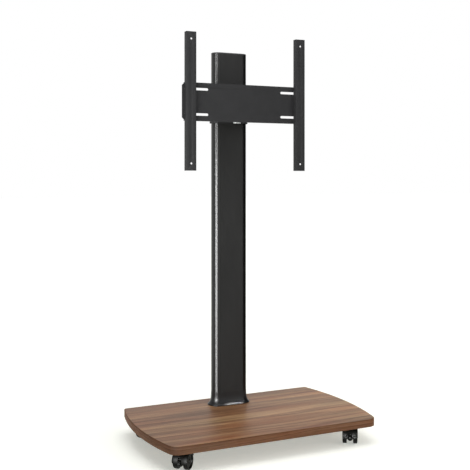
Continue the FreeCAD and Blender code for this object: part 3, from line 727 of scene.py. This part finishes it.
def make_height_carriage():
    """Collar and yoke, with the yoke's bolts and welds."""
    dressed("height_collar", "height_collar_sleeve", "black_steel", 1.2, 3)
    dressed("swivel_yoke", "swivel_yoke_plate", "black_steel", 0.8)
    bm = bmesh.new()
    for x in (-36, 36):
        for z in (-44, 44):
            hex_head(bm, (x, YOKE_FRONT, HEAD_Z + z), -Y, across=10, height=5.4, washer=7.0)
    piece("yoke_bolts", bm, "height_carriage", "zinc_steel")
    # beads above and below each ear of the yoke, and one round the clamp's nut
    sunk, ear_half, nut_r, sides = 0.4, 19, 15.4, 48
    bm = bmesh.new()
    for side in (1, -1):
        for level in (56, 50):
            weld_bead(bm, [(x, YOKE_FRONT - sunk, HEAD_Z + side * level)
                           for x in (-ear_half, ear_half)], 1.5)
    ring = [(nut_r * math.cos(a), COLLAR_BACK + sunk, HEAD_Z + nut_r * math.sin(a))
            for a in (math.tau * i / sides for i in range(sides + 1))]
    weld_bead(bm, ring, 1.6)
    piece("carriage_welds", bm, "height_carriage", "black_steel")


def make_swivel_pin():
    """The upright pin, with a head at each end."""
    shank = [(7.2, -62.8), (8.0, -62.0), (8.0, 56.2), (7.6, 56.6)]
    bm = bmesh.new()
    lathe(bm, shank, (0, PIVOT_Y, HEAD_Z), Z, 56)
    for side in (1, -1):
        hex_head(bm, (0, PIVOT_Y, HEAD_Z + side * 56), side * Z, across=24, height=7.0)
    piece("swivel_pin_bolt", bm, "height_carriage", "zinc_steel", ["swivel_pin"])


def make_clamp_handle():
    """A winged knob with grip ribs and a domed boss, and its threaded stud."""
    reach, slices, least = 32.0, 40, 0.06
    wing_y, rib_y, boss_y = 193.9, 194.0, 186.5
    bm = bmesh.new()
    rings = []
    for i in range(slices + 1):
        x = reach * math.sin((2 * i / slices - 1) * math.pi / 2)
        share = abs(x) / reach
        swell = max(least, math.sqrt(max(0.0, 1 - share ** 6)))
        half_z = (8.0 - 1.9 * math.sin(math.pi * min(1.0, share * 1.15)) ** 2) * swell
        half_y = (7.5 - 1.5 * share) * swell
        rings.append([Vector((x, wing_y + q, HEAD_Z + p))
                      for p, q in rounded(half_z, half_y, min(half_z, half_y) * 0.62)])
    loft(bm, rings)
    rib = rounded(7.6, 6.3, 4.2)
    for x in (-25, -21, -17, 17, 21, 25):
        loft(bm, [[Vector((x + dx, rib_y + q * grow, HEAD_Z + p * grow)) for p, q in rib]
                  for dx, grow in ((-0.9, 0.8), (-0.35, 0.985), (0.35, 0.985), (0.9, 0.8))])
    lathe(bm, [(9.6, 0.0), (10.2, 0.7), (9.4, 9.0), (8.6, 13.2), (7.2, 14.6), (5.0, 14.9),
               (4.4, 14.2), (0, 14.0)], (0, boss_y, HEAD_Z), Y, 48)
    piece("clamp_handle_knob", bm, "clamp", "black_plastic", ["clamp_handle"])

    thread_start, pitch, turns = 171.9, 0.8, 18
    stud = [(4.0, 171.3)]
    for i in range(turns):
        y = thread_start + pitch * i
        stud += [(4.5, y), (5.0, y + pitch / 2)]
    stud.append((4.6, 187.0))
    bm = bmesh.new()
    lathe(bm, stud, (0, 0, HEAD_Z), Y, 40)
    piece("clamp_stud", bm, "clamp", "zinc_steel")


def make_display_head():
    """Block, bracket, cross plate and arms, with their bolts and welds."""
    arm_x, bolt_z = 200, 41
    dressed("swivel_block", "swivel_block_steel", "black_steel", 1.2, 3)
    dressed("swivel_bracket", "swivel_bracket_channel", "black_steel", 0.8)
    dressed("head_plate", "head_cross_plate", "black_steel", 0.6)
    dressed("left_arm", "left_display_arm", "black_steel", 0.6)
    dressed("right_arm", "right_display_arm", "black_steel", 0.6)
    # through each arm and the cross plate: a nut behind, a domed head in front
    dome = [(8.2, 0), (8.4, 0.6), (7.6, 2.0), (5.2, 3.3), (2.4, 3.9), (0, 4.0)]
    bm = bmesh.new()
    for x in (-arm_x, arm_x):
        for z in (-bolt_z, bolt_z):
            hex_head(bm, (x, HEAD_BACK, HEAD_Z + z), Y, across=13, height=8.0, washer=10.0)
            lathe(bm, dome, (x, ARM_FRONT, HEAD_Z + z), -Y, 36)
    piece("head_bolts", bm, "display_head", "zinc_steel")
    # upright beads where the bracket meets the cross plate and the block
    bm = bmesh.new()
    for side in (1, -1):
        for x, y, half, size in ((38.4, HEAD_BACK + 0.5, 29, 1.6), (14.2, 67.2, 43, 1.5)):
            weld_bead(bm, [(side * x, y, HEAD_Z + z) for z in (-half, half)], size)
    piece("head_welds", bm, "display_head", "black_steel")


# ----------------------------------------------------------------- casters


def round_axle(radius, degrees):
    """A point round the axle, by its angle up from the caster's front: y and z."""
    a = math.radians(degrees)
    return AXLE_Y + radius * math.cos(a), AXLE_Z + radius * math.sin(a)


def fender(share):
    """How far the guard's outside drops, by the share of its half width: one
    swelling over each wheel and a valley between them."""
    crown, side_drop, valley = 0.66, 1.5, 1.6
    if share > crown:
        return side_drop * ((share - crown) / (1 - crown)) ** 2.4
    dip = (crown - share) / crown
    return valley * dip * dip * (3 - 2 * dip)


def hood_guard(bm):
    """The mudguard over both treads: a shell with round ends."""
    steps, across, corner, proud = 56, 28, 7.0, 0.3
    rings = []
    for i in range(steps + 1):
        angle = HOOD_FRONT + (HOOD_REAR - HOOD_FRONT) * i / steps
        from_end = math.radians(min(angle - HOOD_FRONT, HOOD_REAR - angle)) * HOOD_OUT
        drop = max(0.0, corner - from_end)
        half = HOOD_HALF - (corner - math.sqrt(max(0.0, corner ** 2 - drop ** 2)))
        places = [half * (1 - 2 * k / across) for k in range(across + 1)]
        section = [(x, HOOD_OUT + proud - fender(abs(x) / HOOD_HALF)) for x in places]
        section += [(x, HOOD_IN) for x in reversed(places)]
        rings.append([Vector((x, *round_axle(radius, angle))) for x, radius in section])
    loft(bm, rings)


def web_outline(keel):
    """The side view of the web, whose underside is keel high."""
    points = [(10.0, 31.0), (10.0, 53.4), (8.4, 55.0), (-8.0, 55.0)]
    points += [round_axle(HOOD_OUT - 1.2, angle) for angle in range(86, 182, 5)]
    points += [(AXLE_Y - HOOD_OUT + 3.2, keel + 3.4), (AXLE_Y - HOOD_OUT + 8.4, keel),
               (-12.0, keel), (-6.5, keel + 2.3), (2.0, 27.0)]
    return points


def make_hood(name, place, braked):
    """One moulded body of guard, web and stem socket. They are merged on a fine
    grid, which rounds every inner corner as a mould does."""
    keels = ((-9.6, 20.5), (-6.8, 15.6), (-3.4, 12.4), (3.4, 12.4), (6.8, 15.6), (9.6, 20.5))
    socket = [(9.6, 29.0), (10.2, 34.0), (10.2, 53.8), (9.2, 55.1), (0, 55.1)]
    steps = [("REMESH", {"mode": "VOXEL", "voxel_size": 0.55}),
             ("CORRECTIVE_SMOOTH", {"factor": 0.6, "iterations": 5, "use_only_smooth": True})]
    bm = bmesh.new()
    hood_guard(bm)
    loft(bm, [[Vector((x, y, z)) for y, z in web_outline(keel)] for x, keel in keels])
    lathe(bm, socket, (0, 0, 0), Z, 40)
    if braked:
        slot_half = 5.3
        wedge = [(4.3, 1.5), (2.4, 4.2), (-1.0, 5.0), (-8.5, 6.6), (-20, 2.0), (-20, -22.0),
                 (-8, -18.0), (3.4, -4.6)]
        room = bmesh.new()
        loft(room, [[Vector((x, LEVER_Y + y, LEVER_Z + z)) for y, z in wedge]
                    for x in (-slot_half, slot_half)])
        steps.insert(0, cut(name + "_lever_cut", room, use_self=True))
    bm = worked(name, bm, *steps)
    piece(name + "_hood_shell", bm, name, "caster_hood", [name + "_hood"], sharp=180,
          place=place)


def make_wheel(name, hand, side, body, place):
    """A wheel's inner face, crowned tread with a parting groove, dished disc and hub."""
    inner = [(0, 0.15), (3.0, 0.15), (3.0, 9.9), (7.5, 10.0), (8.0, 10.9), (20.0, 11.4),
             (21.2, 10.1), (22.6, 10.0)]
    tread = [(24.0, 10.5), (24.8, 11.6), (25.0, 12.8), (25.0, 16.6), (24.6, 16.9),
             (24.6, 17.4), (25.0, 17.7), (25.0, 21.0), (24.7, 22.4), (23.9, 23.4)]
    disc = [(22.6, 24.0), (20.9, 24.0), (20.3, 23.7), (19.9, 22.9), (19.6, 21.4),
            (18.9, 20.6), (17.6, 20.4), (13.0, 21.3)]
    hub = [(9.6, 22.4), (8.4, 22.6), (8.0, 22.0), (7.4, 22.0), (7.0, 22.7), (6.8, 23.5),
           (6.2, 24.0), (2.4, 24.0), (1.8, 23.3), (0, 23.2)]
    bm = bmesh.new()
    lathe(bm, inner + tread + disc + hub, (0, AXLE_Y, AXLE_Z), X * side, 72)
    piece(f"{name}_{hand}_wheel_disc", bm, body, "caster_wheel", [f"{name}_{hand}_wheel"],
          sharp=38, place=place)


def make_lever(name, body, place):
    """Foot tab: a round root, a waisted arm and a wider grip with ridges."""
    down = math.radians(LEVER_DOWN)
    along = Vector((0, -math.cos(down), -math.sin(down)))
    up = Vector((0, -math.sin(down), math.cos(down)))
    root = Vector((0, LEVER_Y, LEVER_Z))
    bm = bmesh.new()
    lathe(bm, [(3.1, -4.7), (3.8, -4.1), (3.8, 4.1), (3.1, 4.7)], root, X, 32)
    # distance from the root, half width, half thickness and rise of each section
    arm = [(0.0, 4.5, 2.2, 0.0), (4.0, 4.1, 2.2, 0.0), (8.0, 3.6, 2.2, 0.0),
           (10.2, 3.8, 2.2, 0.0), (12.0, 4.4, 2.2, -0.1), (14.0, 4.7, 2.2, -0.2),
           (16.0, 4.6, 2.1, -0.4), (17.6, 4.2, 1.8, -0.7), (18.6, 3.4, 1.2, -1.0),
           (19.0, 2.6, 0.6, -1.2)]
    rings = []
    for run, half_x, half_t, lift in arm:
        middle = root + along * run + up * lift
        rings.append([middle + X * p + up * q
                      for p, q in rounded(half_x, half_t, half_t * 0.62)])
    loft(bm, rings)
    rib, rib_low = rounded(3.5, 0.55, 0.5), 1.9
    for run in (11.6, 13.6, 15.6):
        loft(bm, [[root + along * (run + q * grow) + X * (p * grow) + up * (rib_low + rise)
                   for p, q in rib] for rise, grow in ((0.0, 1.0), (0.45, 0.95), (0.7, 0.6))])
    piece(name + "_brake_tab", bm, body, "brake_lever", [name + "_brake_lever"], sharp=40,
          place=place)


def make_mount(name, x, y):
    """The caster's plate and stem, with the four screws that hold them."""
    half_pitch = 16.5
    dressed(name + "_mount", name + "_mount_plate", "zinc_steel", 0.5)
    bm = bmesh.new()
    for dx in (-half_pitch, half_pitch):
        for dy in (-half_pitch, half_pitch):
            pan_head(bm, (x + dx, y + dy, MOUNT_LOW), -Z, radius=3.9, height=1.5)
    piece(name + "_mount_screws", bm, "base", "zinc_steel")


def make_casters():
    for name, (x, y, turn, braked) in CASTERS.items():
        place = Matrix.Translation((x, y, 0)) @ Matrix.Rotation(-math.radians(turn), 4, "Z")
        caster = name + "_caster"
        make_mount(caster, x, y)
        make_hood(caster, place, braked)
        for hand, side in (("left", -1), ("right", 1)):
            make_wheel(caster, hand, side, f"{name}_{hand}_wheel", place)
        if braked:
            make_lever(caster, name + "_brake", place)


# ------------------------------------------------------- stage and lighting


def white_for_sight(nodes):
    """1 where a ray shows the backdrop: to the camera, or in gloss or glass."""
    path = nodes.add("LightPath").outputs
    shown = nodes.sums("MAXIMUM", path["Is Camera Ray"], path["Is Glossy Ray"])
    return nodes.sums("MAXIMUM", shown, path["Is Transmission Ray"])


def make_world(level, swing):
    """Soft light from all round, stronger by swing from the right."""
    world = bpy.data.worlds.new("studio")
    SCENE.world = world
    world.use_nodes = True
    nodes = Nodes(world.node_tree)
    rightward = nodes.split(nodes.add("TexCoord").outputs["Generated"])["X"]
    lit = nodes.tree.nodes["Background"]
    nodes.feed(lit.inputs["Color"], WHITE)
    nodes.feed(lit.inputs["Strength"],
               nodes.span(rightward, level - swing, level + swing, -1.0, 1.0))
    seen = nodes.add("Background", {"Color": WHITE})
    mix = nodes.add("MixShader", {0: white_for_sight(nodes), 1: lit.outputs[0],
                                  2: seen.outputs[0]})
    nodes.feed(nodes.tree.nodes["World Output"].inputs["Surface"], mix.outputs[0])


def staged(name, mesh, material):
    """A flat thing of the studio, which is no piece of the object."""
    made = linked(name, mesh)
    mesh.materials.append(material)
    return made


def make_floor(near, far):
    """A pale floor that shows white and keeps the shadow. What it adds to its lit
    colour goes from near to far with the distance, where the lamps reach it less."""
    half_size, near_end, far_start = 30, 0.8, 3.0
    bm = bmesh.new()
    bmesh.ops.create_grid(bm, x_segments=1, y_segments=1, size=half_size)
    material = bpy.data.materials.new("studio_floor")
    material.use_nodes = True
    nodes = Nodes(material.node_tree)
    nodes.tree.nodes.clear()
    matt = nodes.add("BsdfDiffuse", {"Color": (0.84, 0.84, 0.8, 1)})
    spot = nodes.add("TexCoord").outputs["Object"]
    reach = nodes.add("VectorMath", {0: spot}, operation="LENGTH").outputs["Value"]
    lift = nodes.span(reach, near, far, near_end, far_start, interpolation_type="SMOOTHSTEP")
    strength = nodes.sums("MULTIPLY", white_for_sight(nodes), lift)
    glow = nodes.add("Emission", {"Color": (0.97, 1, 0.93, 1), "Strength": strength})
    both = nodes.add("AddShader", {0: matt.outputs[0], 1: glow.outputs[0]})
    nodes.add("OutputMaterial", {"Surface": both.outputs[0]})
    staged("floor", mesh_of("floor", bm), material)


def make_flag(name, leaves, shade):
    """A dark card that only gloss shows: it takes the white off a dark flank."""
    bm = bmesh.new()
    for corners in leaves:
        bm.faces.new([bm.verts.new(corner) for corner in corners])
    paint = Paint(name, base_color=(shade, shade, shade, 1), roughness=1.0,
                  specular_ior_level=0.0)
    card = staged(name, mesh_of(name, bm), paint.material)
    card.visible_camera = card.visible_diffuse = False
    card.visible_shadow = card.visible_transmission = False


def softbox(name, place, aim, size, watts, spread=180.0):
    """A rectangular lamp of size, width and height. With a spread below 180
    degrees it has a grid in front."""
    light = bpy.data.lights.new(name, "AREA")
    light.shape = "RECTANGLE"
    light.size, light.size_y = size
    light.energy = watts
    light.spread = math.radians(spread)
    made = linked(name, light)
    made.location = place
    made.rotation_euler = (Vector(aim) - Vector(place)).to_track_quat("-Z", "Y").to_euler()
    made.visible_camera = False
    return made


def make_light():
    """Two lamps and the world light the object. The others only give gloss: on
    the foot's cove, on the front casters and down the column's left edge."""
    make_world(level=0.42, swing=0.24)
    make_floor(near=0.42, far=0.8)
    wall = [(1.3, -1.5, 0), (1.3, 0.8, 0), (1.3, 0.8, 2.2), (1.3, -1.5, 2.2)]
    ground = [(0.5, -0.9, 0.004), (1.3, -0.9, 0.004), (1.3, 0.8, 0.004), (0.5, 0.8, 0.004)]
    make_flag("right_flag", [wall, ground], shade=0.006)
    softbox("overhead", (-0.2, -0.4, 3.3), aim=(0.0, 0.0, 0.3), size=(3.0, 3.0), watts=58)
    softbox("front_right", (2.2, -2.6, 1.7), aim=(0.0, 0.0, 0.4), size=(1.8, 1.8), watts=24)
    glints = [softbox("cove", (0.36, -0.105, 0.784), aim=(0.014, 0.113, 0.088),
                      size=(0.2, 0.05), watts=0.038, spread=5)]
    for name, x, watts in (("left", -0.289, 0.12), ("right", 0.289, 0.2)):
        glints.append(softbox("low_" + name, (-0.2, -0.92, 0.045), aim=(x, -0.168, 0.04),
                              size=(0.2, 0.07), watts=watts, spread=12))
    for number, (low, high, watts) in enumerate(((0.2, 0.6, 118), (0.6, 1.9, 42))):
        middle = (low + high) / 2
        glints.append(softbox(f"left_strip_{number}", (-1.55, -1.16, middle),
                              aim=(-0.04, 0.148, middle), size=(1.2, high - low), watts=watts))
    for light in glints:
        light.visible_diffuse = False


def make_camera():
    """Level view from the front left, framed lower by the lens shift."""
    camera = bpy.data.cameras.new("camera")
    camera.sensor_width = 36.0
    camera.lens = 65.34
    camera.shift_x = 0.0063
    camera.shift_y = -0.1258
    camera.clip_end = 100
    made = linked("camera", camera)
    made.location = (-1.2441, -2.5241, 0.8662)
    made.rotation_euler = (math.pi / 2, 0, math.radians(-25.193))
    SCENE.camera = made


make_board()
make_column()
make_foot()
make_cap()
make_grommets()
make_under_plate()
make_height_carriage()
make_swivel_pin()
make_clamp_handle()
make_display_head()
make_casters()
for spent in CUTTERS:
    bpy.data.objects.remove(spent)
make_light()
make_camera()
SCENE.view_settings.view_transform = "Standard"
